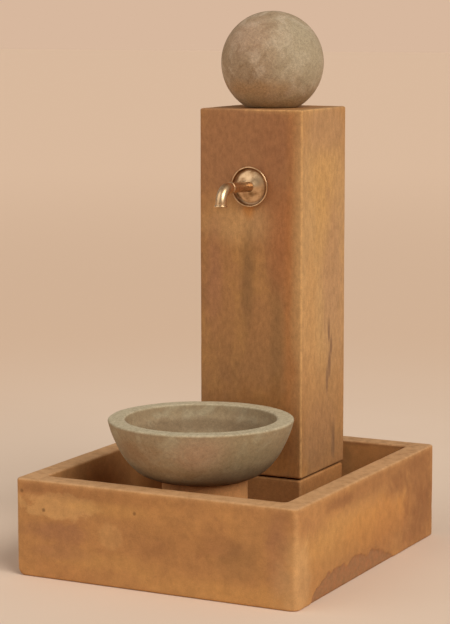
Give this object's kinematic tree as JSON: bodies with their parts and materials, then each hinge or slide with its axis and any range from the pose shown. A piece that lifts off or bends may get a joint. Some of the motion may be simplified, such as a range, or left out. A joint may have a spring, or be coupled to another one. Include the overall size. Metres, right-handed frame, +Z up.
{
  "type": "garden fountain",
  "caption": "Free-standing cast stone garden fountain: rectangular basin, square pillar with a ball finial, brass spout over a round bowl on a drum pedestal.",
  "frame": {"origin": "centre of the basin's underside, on the ground", "axes": "+Z up; -Y is the front, the side the bowl stands on and the spout points to; the pillar stands at the +Y end; +X is to the right seen from the front"},
  "size_m": [0.76, 0.842, 1.3696],
  "materials": {
    "basin_stone": "cast stone stained brown and ochre, worn pale at the edges, matt",
    "pillar_stone": "cast stone stained brown with golden patches and upright streaks, matt",
    "bedding_mortar": "dark recessed bedding mortar, matt",
    "pedestal_stone": "cast stone, plain tan, matt",
    "bowl_stone": "grey-green cast stone with mottling and faint trowel lines, matt",
    "spout_brass": "polished brass, slightly antiqued"
  },
  "bodies": {
    "root": {"basin": "basin_stone", "pillar_plinth": "pillar_stone", "pillar_bed": "bedding_mortar", "pillar": "pillar_stone", "ball": "bowl_stone", "bowl_pedestal": "pedestal_stone", "bowl": "bowl_stone", "spout_rosette": "spout_brass", "spout_pipe": "spout_brass", "spout_collar": "spout_brass", "spout_elbow": "spout_brass", "spout_mouth": "spout_brass"}
  },
  "joints": []
}
